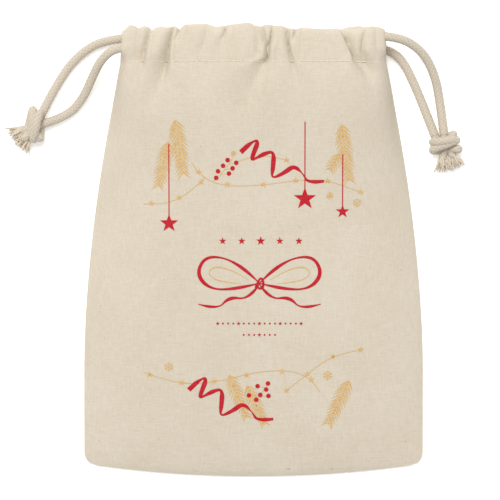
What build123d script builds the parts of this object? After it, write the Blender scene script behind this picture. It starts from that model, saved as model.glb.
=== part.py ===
"""Double drawstring gift pouch in cotton canvas, lying on its back, mouth toward +Y.

Origin: middle of the pouch's outline, on the surface that it lies on. +Z is up, out of the front.
"""
from build123d import *
from math import cos, exp, pi, radians, sin, tan
import os

# Pouch
pouch_width = 150.0
pouch_length = 200.0
mouth_width = 115.0
fabric = 0.6
bottom_corner = 6.0
bottom_sag = 4.6  # the bottom edge bows down this far in the middle
straight_from = -53.0  # below this the sides run straight down
side_power = 1.8  # how fullness dies away from the straight sides up to the gathered mouth
shoulder_lean = 0.22  # the sides lean in this much for each unit up, where they meet the casings

# Crown of the front, from the gathered mouth down to the bottom seam
mouth_fullness = 12.0  # power of the crown's curve across the bag: flat-topped at the mouth
body_fullness = 2.4
mouth_roundness = 0.5
body_roundness = 0.75
flare = 0.25  # share of the bag's length over which the mouth's height dies away
body_height = 0.53  # share of the mouth's height that is left below the flare
section_steps = 16
bag_foot_gap = 2.0  # last cross-section of the front above the bottom edge
cavity_foot_gap = 8.0

# Mouth and casings
casing_depth = 17.5
casing_end = 10.5  # length of each loose casing end, beside its slit
slit_gap = 0.3  # between a loose casing end and the casing beside it
side_lip = 3.6  # height of the closed side below each slit
mouth_gap = 5.6  # open space between the two inner hems
stitch_line = 1.6  # stitches stand this far above the casing's lower edge
pinch_start = 1.2  # the hem leaves the outer wall here, and is at its full depth at pinch_end
pinch_end = 3.2
bartack_height = 5.0

# Drawstrings
cord = 4.0
cord_clearance = 0.3
lane_gap = 0.7  # between the two cords, which lie side by side in each casing
lane_margin = 3.6  # from the top fold to the upper cord's surface
tail_start = 6.5  # the tails start this far inside the mouth's ends
bend_share = 0.45  # a bend uses this share of the shorter run beside it
turn_share = 0.99

# Seams
allowance_width = 5.0
allowance_inset = 6.0
thread = 0.4
stitch_length = 2.4
stitch_pitch = 3.0
seam_stitch_pitch = 4.0
seam_line = 1.0  # the seam's thread runs this far inside the allowance's sewn edge
allowance_foot = 27.0  # the side allowances stop this far above the bottom edge
allowance_head = 4.0  # and this far below the casing
bottom_allowance_end = 20.0  # the bottom allowance stops this far from the sides
bottom_allowance_rise = 1.0

# Levels and lines that follow from the sizes above
top = pouch_length / 2
casing_foot = top - casing_depth
channel = cord + 2 * cord_clearance
back_cord_z = fabric + channel / 2
back_hem_z = fabric + channel
front_hem_z = back_hem_z + fabric + mouth_gap
front_cord_z = front_hem_z + fabric + channel / 2
front_wall_z = front_hem_z + fabric + channel
mouth_height = front_wall_z + fabric
mouth_end = mouth_width / 2
lane_spacing = cord + lane_gap
upper_lane = top - lane_margin - cord / 2
lower_lane = upper_lane - lane_spacing
shoulder = mouth_end + 1.0
casing_half = mouth_end - casing_end
fold_radius = channel / 2 + fabric

os.makedirs("parts", exist_ok=True)


def save(piece, name):
    """Label a finished piece and write it."""
    piece.label = name
    export_step(piece, f"parts/{name}.step")


# Outline and crown of the bag
def side_x(y):
    """Half the width of the pouch at height y of its outline."""
    if y <= straight_from:
        return pouch_width / 2
    share = (y - straight_from) / (casing_foot - straight_from)
    return pouch_width / 2 - (pouch_width / 2 - shoulder) * share**side_power


def outline(inset):
    """Flat outline of the bag below the casings, drawn in by inset."""
    steps = 7
    rise = (casing_foot - straight_from) / steps
    side = [(side_x(straight_from + i * rise) - inset, straight_from + i * rise) for i in range(steps + 1)]
    foot = -top + bottom_sag + inset
    corner = pouch_width / 2 - inset - bottom_corner
    with BuildSketch(Plane.XY) as flat:
        with BuildLine():
            for way in (1, -1):
                Spline([(way * x, y) for x, y in side], tangents=[(0, 1), (-way * shoulder_lean, 1)])
                Line((way * side[0][0], straight_from), (way * side[0][0], foot + bottom_corner))
                RadiusArc(
                    (way * side[0][0], foot + bottom_corner),
                    (way * corner, foot),
                    way * bottom_corner,
                )
            ThreePointArc((-corner, foot), (0, -top + inset), (corner, foot))
            Line((side[-1][0], casing_foot), (-side[-1][0], casing_foot))
        make_face()
    return flat.sketch


def bag_section(y, inset, rise, rim):
    """Cross-section of the bag at y: flat below, crowned above, fuller toward the mouth."""
    share = (casing_foot - y) / (casing_foot + top)
    mouthward = (1 - min(share, 1)) ** 6
    fullness = body_fullness + (mouth_fullness - body_fullness) * mouthward
    roundness = body_roundness + (mouth_roundness - body_roundness) * mouthward
    half = side_x(y) - inset
    ridge = []
    for i in range(section_steps + 1):
        across = sin(pi * (i / section_steps - 0.5))
        height = (1 - abs(across) ** fullness) ** roundness
        ridge.append((half * across, rim + rise * height))
    with BuildSketch(Plane((0, y, fabric), x_dir=(1, 0, 0), z_dir=(0, -1, 0))) as section:
        with BuildLine():
            Spline(ridge)
            if rim > 0:
                Line((-half, rim), (-half, 0))
                Line((half, rim), (half, 0))
            Line((-half, 0), (half, 0))
        make_face()
    return section.sketch


def crown(y):
    """Height of the bag's crown above the back cloth, before the cloth's own thickness."""
    share = min((casing_foot - y) / (casing_foot + top), 1)
    flared = body_height + (1 - body_height) * exp(-((share / flare) ** 2))
    return (mouth_height - 3 * fabric) * flared * (1 - share**2) ** 0.6


station_shares = (0, 0.08, 0.16, 0.25, 0.36, 0.5, 0.66, 0.8, 0.92)
stations = [casing_foot - share * (casing_foot + top) for share in station_shares]
bag_foot = -top + bag_foot_gap
cavity_foot = -top + cavity_foot_gap

with BuildPart() as cavity:
    loft([bag_section(y, 2 * fabric, crown(y), 0) for y in [*stations, cavity_foot]])
    with BuildSketch(Plane.XY):
        add(outline(2 * fabric))
    extrude(amount=mouth_height, mode=Mode.INTERSECT)

with BuildPart() as front_panel:
    loft([bag_section(y, 0, crown(y) + fabric, fabric) for y in [*stations, bag_foot, -top - fabric]])
    with BuildSketch(Plane.XY):
        add(outline(0))
    extrude(amount=mouth_height, mode=Mode.INTERSECT)
    add(cavity.part, mode=Mode.SUBTRACT)
save(front_panel.part, "front_panel")

with BuildPart() as back_panel:
    with BuildSketch(Plane.XY):
        add(outline(0))
    extrude(amount=fabric)
save(back_panel.part, "back_panel")


# Seam allowances inside the bag
def allowance_x(y, inner):
    """Distance from the middle of the outer or inner edge of a side seam allowance."""
    return side_x(y) - allowance_inset - (allowance_width if inner else 0)


side_foot = -top + allowance_foot
side_head = casing_foot - allowance_head
side_steps = [side_foot + i * (side_head - side_foot) / 6 for i in range(7)]
for side, way in (("left", -1), ("right", 1)):
    with BuildPart() as side_allowance:
        with BuildSketch(Plane.XY.offset(fabric)):
            with BuildLine():
                Spline([(way * allowance_x(y, False), y) for y in side_steps])
                Spline([(way * allowance_x(y, True), y) for y in side_steps])
                for y in (side_foot, side_head):
                    Line((way * allowance_x(y, False), y), (way * allowance_x(y, True), y))
            make_face()
        extrude(amount=fabric)
    save(side_allowance.part, f"{side}_seam_allowance")

    stitches = int((side_head - side_foot - stitch_length) / seam_stitch_pitch) + 1
    with BuildPart() as seam_thread:
        for i in range(stitches):
            y = side_foot + stitch_length / 2 + i * seam_stitch_pitch
            x = allowance_x(y, False) - seam_line
            with Locations((way * x, y, 2 * fabric)):
                Box(thread, stitch_length, thread, align=(Align.CENTER, Align.CENTER, Align.MIN))
    save(seam_thread.part, f"{side}_seam_thread")

bottom_half = pouch_width / 2 - bottom_allowance_end
bottom_line = -top + bottom_sag + allowance_inset + bottom_allowance_rise
with BuildPart() as bottom_allowance:
    with BuildSketch(Plane.XY.offset(fabric)):
        with BuildLine():
            ThreePointArc(
                (-bottom_half, bottom_line), (0, bottom_line - bottom_sag / 2), (bottom_half, bottom_line)
            )
            Line((bottom_half, bottom_line), (bottom_half, bottom_line + allowance_width))
            Line((bottom_half, bottom_line + allowance_width), (-bottom_half, bottom_line + allowance_width))
            Line((-bottom_half, bottom_line + allowance_width), (-bottom_half, bottom_line))
        make_face()
    extrude(amount=fabric)
save(bottom_allowance.part, "bottom_seam_allowance")

bottom_stitches = int((2 * bottom_half - stitch_length) / seam_stitch_pitch)
with BuildPart() as bottom_thread:
    with Locations((0, bottom_line + seam_line, 2 * fabric)):
        with GridLocations(seam_stitch_pitch, 1, bottom_stitches, 1):
            Box(stitch_length, thread, thread, align=(Align.CENTER, Align.CENTER, Align.MIN))
save(bottom_thread.part, "bottom_seam_thread")


# Casings: cloth folded to the inside
def casing_wall(from_x, level, outward):
    """Profile of a casing's outer wall with its half of the top fold, set at from_x along the mouth.

    level is the height of the wall's outer face, outward is 1 for the front and -1 for the back.
    """
    middle = level - outward * fold_radius
    inner = fold_radius - fabric
    with BuildSketch(Plane((from_x, 0, 0), x_dir=(0, 1, 0), z_dir=(1, 0, 0))) as profile:
        with BuildLine():
            Polyline(
                (casing_foot, level - outward * fabric),
                (casing_foot, level),
                (top - fold_radius, level),
            )
            TangentArc((top - fold_radius, level), (top, middle), tangent=(1, 0))
            Line((top, middle), (top - fabric, middle))
            ThreePointArc(
                (top - fabric, middle),
                (top - fold_radius + inner * cos(pi / 4), middle + outward * inner * sin(pi / 4)),
                (top - fold_radius, level - outward * fabric),
            )
            Line((top - fold_radius, level - outward * fabric), (casing_foot, level - outward * fabric))
        make_face()
    return profile.sketch


def hem_wall(from_x, level, outward):
    """Profile of a casing's inner wall: the other half of the top fold, then down to the stitches."""
    middle = level - outward * fold_radius
    inner = fold_radius - fabric
    deep = level - 2 * outward * fold_radius
    with BuildSketch(Plane((from_x, 0, 0), x_dir=(0, 1, 0), z_dir=(1, 0, 0))) as profile:
        with BuildLine():
            Line((top, middle), (top - fabric, middle))
            ThreePointArc(
                (top - fabric, middle),
                (top - fold_radius + inner * cos(pi / 4), middle - outward * inner * sin(pi / 4)),
                (top - fold_radius, deep + outward * fabric),
            )
            Polyline(
                (top - fold_radius, deep + outward * fabric),
                (casing_foot + pinch_end, deep + outward * fabric),
                (casing_foot + pinch_start, level - outward * fabric),
                (casing_foot, level - outward * fabric),
                (casing_foot, level - 2 * outward * fabric),
                (casing_foot + pinch_start - fabric / 2, level - 2 * outward * fabric),
                (casing_foot + pinch_end - fabric / 2, deep),
                (top - fold_radius, deep),
            )
            TangentArc((top - fold_radius, deep), (top, middle), tangent=(1, 0))
        make_face()
    return profile.sketch


for face, level, outward in (("front", mouth_height, 1), ("back", 0.0, -1)):
    with BuildPart() as casing:
        extrude(casing_wall(-casing_half, level, outward), amount=2 * casing_half)
    save(casing.part, f"{face}_casing")

    with BuildPart() as hem:
        extrude(hem_wall(-casing_half, level, outward), amount=2 * casing_half)
    save(hem.part, f"{face}_hem")

stitch_count = int((2 * casing_half - stitch_length) / stitch_pitch)
with BuildPart() as front_stitches:
    with Locations((0, casing_foot + stitch_line, mouth_height)):
        with GridLocations(stitch_pitch, 1, stitch_count, 1):
            Box(stitch_length, thread, thread, align=(Align.CENTER, Align.CENTER, Align.MIN))
save(front_stitches.part, "front_casing_stitches")

with BuildPart() as back_stitches:
    with Locations((0, casing_foot + thread, 2 * fabric)):
        with GridLocations(stitch_pitch, 1, stitch_count, 1):
            Box(stitch_length, thread, thread, align=(Align.CENTER, Align.CENTER, Align.MIN))
save(back_stitches.part, "back_casing_stitches")

# Loose casing ends beside the slits
lip_foot = casing_foot + slit_gap
lip_top = lip_foot + side_lip
slit_middle = mouth_height / 2
end_from = casing_half + slit_gap
for side, way in (("left", -1), ("right", 1)):
    for face, level, outward in (("front", mouth_height, 1), ("back", 0.0, -1)):
        with BuildPart() as slit_flap:
            extrude(casing_wall(way * end_from, level, outward), amount=way * (mouth_end - end_from))
            with BuildSketch(Plane.XY.offset(min(slit_middle, level))):
                with Locations((way * (mouth_end - fabric / 2), (lip_foot + lip_top) / 2)):
                    Rectangle(fabric, lip_top - lip_foot)
            extrude(amount=slit_middle)
        save(slit_flap.part, f"{side}_{face}_slit_flap")

    with BuildPart() as bartack:
        with Locations((way * mouth_end, (lip_foot + lip_top) / 2, slit_middle)):
            outward_align = Align.MIN if way > 0 else Align.MAX
            Box(thread, side_lip, bartack_height, align=(outward_align, Align.CENTER, Align.CENTER))
    save(bartack.part, f"{side}_slit_bartack")


# Drawstrings
def arc_radii(points):
    """One radius for each inner point: as large as its two runs allow."""
    radii = []
    for before, here, after in zip(points, points[1:], points[2:]):
        into = Vector(*here) - Vector(*before)
        out = Vector(*after) - Vector(*here)
        half_turn = radians(into.get_angle(out)) / 2
        radii.append(bend_share * min(into.length, out.length) / tan(half_turn))
    return radii


def beside_mouth(way, out, down, z):
    """Point beside the mouth: out from its end, down from its top fold."""
    return (way * (mouth_end + out), top - down, z)


# Each cord runs out along the front casing, turns round inside the far end of the mouth and comes
# back along the back casing. The two cords change lanes, so that they pass each other.
turn_radius = ((front_cord_z - back_cord_z) ** 2 + lane_spacing**2) ** 0.5 / 2
turn_out = mouth_end - slit_gap - cord / 2
cord_lanes = {"left": (-1, lower_lane, upper_lane), "right": (1, upper_lane, lower_lane)}
cord_routes = {}
bend_radii = {}
for side, (way, front_lane, back_lane) in cord_lanes.items():
    near = way * (mouth_end - tail_start)
    far = -way * turn_out
    cord_routes[f"{side}_cord_run"] = [
        (near, front_lane, front_cord_z),
        (far, front_lane, front_cord_z),
        (far, back_lane, back_cord_z),
        (near, back_lane, back_cord_z),
    ]
    bend_radii[f"{side}_cord_run"] = [turn_share * turn_radius] * 2

# Free tails, from the slit down to the surface and across it to the knot
tail_routes = {
    "left_cord_front_tail": [
        (-(mouth_end - tail_start), lower_lane, front_cord_z),
        beside_mouth(-1, 2.7, 10.7, 14.2),
        beside_mouth(-1, 9.5, 15.8, 12.4),
        beside_mouth(-1, 13.7, 23.8, 7.8),
        beside_mouth(-1, 17.9, 32.6, 3.7),
        beside_mouth(-1, 24.9, 40.6, 2.3),
        beside_mouth(-1, 35.7, 44.0, 4.0),
    ],
    "left_cord_back_tail": [
        (-(mouth_end - tail_start), upper_lane, back_cord_z),
        beside_mouth(-1, 7.9, 6.0, 2.6),
        beside_mouth(-1, 20.1, 13.2, 2.2),
        beside_mouth(-1, 29.4, 25.4, 2.3),
        beside_mouth(-1, 36.3, 39.6, 4.2),
    ],
    "right_cord_front_tail": [
        (mouth_end - tail_start, upper_lane, front_cord_z),
        beside_mouth(1, 5.7, 5.7, 13.8),
        beside_mouth(1, 16.9, 11.8, 9.4),
        beside_mouth(1, 22.8, 22.4, 5.2),
        beside_mouth(1, 25.4, 35.8, 2.5),
        beside_mouth(1, 26.9, 49.0, 4.0),
    ],
    "right_cord_back_tail": [
        (mouth_end - tail_start, lower_lane, back_cord_z),
        beside_mouth(1, 1.3, 10.6, 2.8),
        beside_mouth(1, 8.1, 15.0, 2.5),
        beside_mouth(1, 13.1, 24.6, 2.2),
        beside_mouth(1, 18.1, 36.8, 2.3),
        beside_mouth(1, 22.8, 49.2, 3.9),
    ],
}
for name, route in tail_routes.items():
    cord_routes[name] = route
    bend_radii[name] = arc_radii(route)

for name, route in cord_routes.items():
    radii = bend_radii[name]
    with BuildPart() as tube:
        with BuildLine() as path:
            FilletPolyline(*route, radius=radii)
        with BuildSketch(Plane(origin=path.line @ 0, z_dir=path.line % 0)):
            Circle(cord / 2)
        sweep(path=path.line)
    save(tube.part, name)
    length = sum(edge.length for edge in path.line.edges())
    filled = tube.part.volume / (length * pi * cord**2 / 4)
    print(f"{name}: length {length:.1f}, volume over section times length {filled:.4f}")
    print("   radii", [round(r, 1) for r in radii])

# Overhand knots, each tied in both ends of one cord: broad across the cords, with a round girth
knot_lift = 0.1
knots = {
    "left": (beside_mouth(-1, 39.7, 44.3, 10.8 / 2 + knot_lift), 84.6, 17.0, 10.8),
    "right": (beside_mouth(1, 26.4, 53.6, 12.0 / 2 + knot_lift), -17.0, 15.2, 12.0),
}
for side, (centre, heading, breadth, girth) in knots.items():
    long_way = (cos(radians(heading)), sin(radians(heading)), 0)
    with BuildPart() as knot:
        with BuildSketch(Plane(origin=centre, x_dir=long_way, z_dir=(0, 0, 1))):
            Ellipse(breadth / 2, girth / 2)
            Rectangle(breadth, girth, align=(Align.CENTER, Align.MAX), mode=Mode.SUBTRACT)
        revolve(axis=Axis(centre, long_way), revolution_arc=360)
    save(knot.part, f"{side}_cord_knot")

# Frayed ends: the two ends of each cord open out past its knot
fray_growth = 0.8
frays = {
    "left_cord_front_frayed_end": (beside_mouth(-1, 41.9, 49.8, 3.8), beside_mouth(-1, 45.9, 55.4, 3.0)),
    "left_cord_back_frayed_end": (beside_mouth(-1, 43.5, 45.4, 3.8), beside_mouth(-1, 50.3, 48.6, 3.0)),
    "right_cord_front_frayed_end": (beside_mouth(1, 31.0, 58.0, 3.8), beside_mouth(1, 32.7, 64.1, 3.0)),
    "right_cord_back_frayed_end": (beside_mouth(1, 26.4, 58.2, 3.8), beside_mouth(1, 26.5, 64.6, 3.0)),
}
for name, (start, end) in frays.items():
    reach = Vector(*end) - Vector(*start)
    with BuildPart(Plane(origin=start, z_dir=reach)) as fray:
        Cone(
            cord / 2,
            cord / 2 + fray_growth,
            reach.length,
            align=(Align.CENTER, Align.CENTER, Align.MIN),
        )
    save(fray.part, name)
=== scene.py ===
import bpy
import math
import random
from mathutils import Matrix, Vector
from mathutils.bvhtree import BVHTree


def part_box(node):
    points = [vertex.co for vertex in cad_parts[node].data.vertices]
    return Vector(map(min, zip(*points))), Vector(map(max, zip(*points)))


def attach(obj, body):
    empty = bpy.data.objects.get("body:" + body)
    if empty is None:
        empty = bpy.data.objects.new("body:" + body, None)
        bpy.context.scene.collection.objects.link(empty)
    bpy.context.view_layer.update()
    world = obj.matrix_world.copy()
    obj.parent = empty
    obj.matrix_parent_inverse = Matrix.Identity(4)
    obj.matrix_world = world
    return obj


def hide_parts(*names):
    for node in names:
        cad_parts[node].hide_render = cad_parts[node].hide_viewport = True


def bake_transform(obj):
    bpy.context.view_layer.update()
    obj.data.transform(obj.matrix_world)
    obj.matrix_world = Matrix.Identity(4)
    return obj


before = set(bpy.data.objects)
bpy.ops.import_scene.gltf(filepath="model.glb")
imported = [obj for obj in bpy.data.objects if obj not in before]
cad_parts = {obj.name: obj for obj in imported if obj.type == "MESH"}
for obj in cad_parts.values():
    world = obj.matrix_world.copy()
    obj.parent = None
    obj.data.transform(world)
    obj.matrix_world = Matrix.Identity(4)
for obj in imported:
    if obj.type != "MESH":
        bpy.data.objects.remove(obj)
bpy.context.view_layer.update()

mm = 0.001
ways = {"left": -1, "right": 1}
print("frame loaded")


def deselect():
    if bpy.context.object and bpy.context.object.mode != "OBJECT":
        bpy.ops.object.mode_set(mode="OBJECT")
    bpy.ops.object.select_all(action="DESELECT")


def makeActive(piece):
    deselect()
    piece.select_set(True)
    bpy.context.view_layer.objects.active = piece


def applyModifier(piece, kind, **settings):
    # adds one modifier, sets it and applies it at once
    makeActive(piece)
    modifier = piece.modifiers.new(kind.title(), kind)
    for name, value in settings.items():
        setattr(modifier, name, value)
    bpy.ops.object.modifier_apply(modifier=modifier.name)


def smooth(piece, degrees):
    makeActive(piece)
    bpy.ops.object.shade_smooth_by_angle(angle=math.radians(degrees))


def editWhole(piece, *steps):
    # runs mesh operators on the whole piece
    makeActive(piece)
    bpy.ops.object.mode_set(mode="EDIT")
    for step in steps:
        bpy.ops.mesh.select_all(action="SELECT")
        step()
    bpy.ops.object.mode_set(mode="OBJECT")


def joinPieces(pieces, name):
    makeActive(pieces[0])
    for one in pieces:
        one.select_set(True)
    bpy.ops.object.join()
    whole = bpy.context.object
    whole.name = name
    bpy.ops.object.shade_smooth()
    return whole


def finish(piece, material, slot, body, *nodes):
    piece.data.materials.clear()
    piece.data.materials.append(material)
    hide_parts(*nodes)
    if body:
        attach(piece, body)


def addObject(name, data):
    piece = bpy.data.objects.new(name, data)
    bpy.context.collection.objects.link(piece)
    return piece


def duplicate(piece, name):
    copy = piece.copy()
    copy.data = piece.data.copy()
    copy.name = name
    bpy.context.collection.objects.link(copy)
    return copy


def meshPiece(name, verts, faces):
    mesh = bpy.data.meshes.new(name)
    mesh.from_pydata(verts, [], faces)
    mesh.update()
    return addObject(name, mesh)


def direction(angle):
    return Vector((math.cos(angle), math.sin(angle), 0))


def ease(t):
    t = min(max(t, 0.0), 1.0)
    return t * t * (3 - 2 * t)


def mix(a, b, t):
    return a + (b - a) * t


def linear(hexColour):
    # sRGB hex to linear
    values = [int(hexColour[i:i + 2], 16) / 255 for i in (1, 3, 5)]
    return [v / 12.92 if v <= 0.04045 else ((v + 0.055) / 1.055) ** 2.4 for v in values] + [1.0]


def addNode(tree, kind, settings=None, links=None):
    # settings by property, or by socket name or number; links by input to another node's output socket
    node = tree.nodes.new(kind)
    for name, value in (settings or {}).items():
        if isinstance(name, int) or name in node.inputs:
            node.inputs[name].default_value = value
        else:
            setattr(node, name, value)
    for name, source in (links or {}).items():
        tree.links.new(source, node.inputs[name])
    return node


def newMaterial(name):
    material = bpy.data.materials.new(name)
    material.use_nodes = True
    tree = material.node_tree
    tree.nodes.clear()
    return material, tree


def shader(tree, colour, height, roughness, bumpDistance, bumpStrength, sheen=0.0):
    links = {"Base Color": colour}
    if height is not None:
        bump = addNode(tree, "ShaderNodeBump", {"Distance": bumpDistance, "Strength": bumpStrength},
                       {"Height": height})
        links["Normal"] = bump.outputs["Normal"]
    settings = {"Roughness": roughness, "Specular IOR Level": 0.25}
    if sheen:
        settings["Sheen Weight"] = sheen
        settings["Sheen Roughness"] = 0.5
    surface = addNode(tree, "ShaderNodeBsdfPrincipled", settings, links)
    addNode(tree, "ShaderNodeOutputMaterial", None, {"Surface": surface.outputs["BSDF"]})
    return surface


def twoTone(tree, factor, dark, light, low, high):
    # dark below low, light above high, a smooth change between them
    share = addNode(tree, "ShaderNodeMapRange", {"From Min": low, "From Max": high}, {"Value": factor})
    colour = addNode(tree, "ShaderNodeMix", {"data_type": "RGBA", 6: linear(dark), 7: linear(light)},
                     {0: share.outputs["Result"]})
    return colour.outputs[2]


canvas = {
    "litThreadTop": "#d2c8b7",  # painted highlight on the lit tops of the threads, also the paler cloudy patches
    "shade": "#c4b8a4",  # painted shade in the hollows between threads, also the darker cloudy patches and thin places
    "speck": "#8d7a5e",  # bits of seed husk left in unbleached cotton
    "threadPitch": 0.55 * mm,
    "slubLength": 4.5 * mm,
    "cloudSize": 26.0 * mm,
    "cloudShare": 0.2,
    "fleckSize": 1.5 * mm,
    "fleckDark": 0.4,
    "fleckRange": (0.745, 0.82),  # only the noise's rare peaks are flecks
    "toneRange": (0.34, 0.64),
    "sheen": 0.12,
}


def wovenThreads(tree, place):
    # threads both ways, each one uneven along its length, as one height from 0 to 1
    pitch, slub = canvas["threadPitch"], canvas["slubLength"]
    sets = []
    for along in (0, 1):
        scale = [1 / pitch, 1 / pitch, 1 / pitch]
        scale[along] = 1 / slub
        stretched = addNode(tree, "ShaderNodeMapping", {"Scale": scale}, {"Vector": place})
        sets.append(addNode(tree, "ShaderNodeTexNoise", {"Scale": 1.0, "Detail": 3.0, "Roughness": 0.62},
                            {"Vector": stretched.outputs["Vector"]}).outputs[0])
    both = addNode(tree, "ShaderNodeMath", {"operation": "ADD"}, {0: sets[0], 1: sets[1]})
    return addNode(tree, "ShaderNodeMath", {"operation": "MULTIPLY", 1: 0.5}, {0: both.outputs[0]}).outputs[0]


def canvasMaterial(name):
    # loom-state cotton: matt, cream, with slubs both ways, cloudy patches and small dark flecks; the weave's
    # height also paints the threads lighter on top and darker in the hollows, as painted light and shade
    material, tree = newMaterial(name)
    place = addNode(tree, "ShaderNodeTexCoord").outputs["Object"]
    threads = wovenThreads(tree, place)
    cloud = addNode(tree, "ShaderNodeTexNoise", {"Scale": 1 / canvas["cloudSize"], "Detail": 2.0},
                    {"Vector": place})
    tone = addNode(tree, "ShaderNodeMix", {0: canvas["cloudShare"]},
                   {2: threads, 3: cloud.outputs[0]}).outputs[0]
    # painted light and shade: the thread height picks the lit colour on thread tops and the shaded colour in
    # the hollows between them
    cloth = twoTone(tree, tone, canvas["shade"], canvas["litThreadTop"], *canvas["toneRange"])
    flecks = addNode(tree, "ShaderNodeTexNoise", {"Scale": 1 / canvas["fleckSize"], "Detail": 1.0},
                     {"Vector": place})
    low, high = canvas["fleckRange"]
    rare = addNode(tree, "ShaderNodeMapRange",
                   {"From Min": low, "From Max": high, "To Max": canvas["fleckDark"]},
                   {"Value": flecks.outputs[0]})
    colour = addNode(tree, "ShaderNodeMix", {"data_type": "RGBA", 7: linear(canvas["speck"])},
                     {0: rare.outputs["Result"], 6: cloth})
    shader(tree, colour.outputs[2], threads, 0.92, 0.35 * mm, 0.5, sheen=canvas["sheen"])
    return material


def inkMaterial(name, inkColour, wornColour, wear):
    # water-based screen ink: sinks into the canvas, so the weave shows through it
    material, tree = newMaterial(name)
    threads = wovenThreads(tree, addNode(tree, "ShaderNodeTexCoord").outputs["Object"])
    colour = twoTone(tree, threads, wornColour, inkColour, 0.50 - wear, 0.56)
    shader(tree, colour, threads, 0.8, 0.3 * mm, 0.5)
    return material


def cordMaterial(name, shadedGroove, crown):
    # soft cotton yarn plaited round a core: pale crowns, with painted shade in the grooves between the
    # strands
    material, tree = newMaterial(name)
    relief = addNode(tree, "ShaderNodeAttribute", {"attribute_name": "relief"})
    uv = addNode(tree, "ShaderNodeUVMap", {"uv_map": "yarn"})
    fine = addNode(tree, "ShaderNodeMapping", {"Scale": (46, 30, 1)}, {"Vector": uv.outputs["UV"]})
    fibres = addNode(tree, "ShaderNodeTexNoise", {"Scale": 1.0, "Detail": 3.0},
                     {"Vector": fine.outputs["Vector"]}).outputs[0]
    # painted shade: the colour darkens where the strand surface sinks into a groove, mixed with a random
    # fibre tone
    tone = addNode(tree, "ShaderNodeMix", {0: 0.37}, {2: relief.outputs["Fac"], 3: fibres}).outputs[0]
    shader(tree, twoTone(tree, tone, shadedGroove, crown, 0.16, 0.70), fibres, 0.9, 0.12 * mm, 0.6, sheen=0.2)
    return material


def mottledMaterial(name, light, dark, grain, bump, roughness=0.85):
    # small uneven patches of two near tones
    material, tree = newMaterial(name)
    place = addNode(tree, "ShaderNodeTexCoord").outputs["Object"]
    noise = addNode(tree, "ShaderNodeTexNoise", {"Scale": 1 / grain, "Detail": 3.0},
                    {"Vector": place}).outputs[0]
    return material, shader(tree, twoTone(tree, noise, dark, light, 0.35, 0.65), noise, roughness, bump, 0.5)


cottonCanvas = canvasMaterial("unbleached cotton canvas")
# the first colour is painted shade for the grooves, the second is the strands' own colour on their crowns
cottonBraid = cordMaterial("braided cotton cord", "#a89c87", "#cabfae")
# a tight lustrous twist, a shade whiter than the cloth
sewingThread, _ = mottledMaterial("spun polyester sewing thread", "#e6dfd3", "#cfc5b5", 0.5 * mm, 0.05 * mm)
# loose fibres with no twist left in them
rawFibre, _ = mottledMaterial("combed-out cotton yarn", "#dcd2c2", "#c8baa3", 0.9 * mm, 0.1 * mm)
redInk = inkMaterial("red water-based screen ink", "#b3101f", "#bb2c36", 0.12)
goldInk = inkMaterial("gold pigment screen ink", "#c99f5a", "#cfb384", 0.08)
print("materials ready")


# looking straight down
view = {"width": 220.6 * mm, "centre": (-1.54 * mm, 0.22 * mm), "distance": 1.2, "sensor": 36.0}

bpy.ops.object.camera_add(location=(view["centre"][0], view["centre"][1], view["distance"] + 8 * mm))
camera = bpy.context.object
camera.name = "lookingDown"
camera.data.sensor_width = view["sensor"]
camera.data.lens = view["sensor"] * view["distance"] / view["width"]
camera.data.clip_start = 0.05
bpy.context.scene.camera = camera


braid = {
    "radius": 2.0 * mm,
    "relief": 0.14 * mm,  # a strand stands this far above the joints
    "strands": 12,
    "lay": 1.9 * mm,  # length along the cord of one crossing
    "sides": 40,
    "step": 0.28 * mm,
}

# the free tails, from inside the slit to the knot
tailRoutes = {
    "leftFrontTail": ((-51.0, 89.7, 14.3), (-60.2, 89.3, 14.2), (-67.0, 84.2, 12.4), (-71.2, 76.2, 7.8),
                      (-75.4, 67.4, 3.7), (-82.4, 59.4, 2.3), (-93.2, 56.0, 4.0)),
    "leftBackTail": ((-51.0, 94.4, 2.9), (-65.4, 94.0, 2.6), (-77.6, 86.8, 2.3), (-86.9, 74.6, 2.3),
                     (-93.8, 60.4, 4.2)),
    "rightFrontTail": ((51.0, 94.4, 14.3), (63.2, 94.3, 13.8), (74.4, 88.2, 9.4), (80.3, 77.6, 5.2),
                       (82.9, 64.2, 2.5), (84.4, 51.0, 4.0)),
    "rightBackTail": ((51.0, 89.7, 2.9), (58.8, 89.4, 2.8), (65.6, 85.0, 2.5), (70.6, 75.4, 2.3),
                      (75.6, 63.2, 2.3), (80.3, 50.8, 3.9)),
}


def splinePoints(name, points):
    # a smooth line through the route, read back as its own fine points
    curve = bpy.data.curves.new(name, "CURVE")
    curve.dimensions = "3D"
    spline = curve.splines.new("NURBS")
    spline.points.add(len(points) - 1)
    for point, place in zip(spline.points, points):
        point.co = (*place, 1.0)
    spline.order_u = 3
    spline.use_endpoint_u = True
    spline.resolution_u = 24
    holder = addObject(name, curve)
    bpy.context.view_layer.update()
    mesh = bpy.data.meshes.new_from_object(holder)
    path = [v.co.copy() for v in mesh.vertices]
    bpy.data.objects.remove(holder)
    bpy.data.meshes.remove(mesh)
    bpy.data.curves.remove(curve)
    return path


def evenPoints(path, step):
    # the same line walked in equal steps
    lengths = [0.0]
    for a, b in zip(path, path[1:]):
        lengths.append(lengths[-1] + (b - a).length)
    count = max(2, int(lengths[-1] / step))
    out, k = [], 0
    for i in range(count + 1):
        target = lengths[-1] * i / count
        while k < len(path) - 2 and lengths[k + 1] < target:
            k += 1
        span = max(lengths[k + 1] - lengths[k], 1e-9)
        out.append(path[k].lerp(path[k + 1], (target - lengths[k]) / span))
    return out, lengths[-1]


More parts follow.
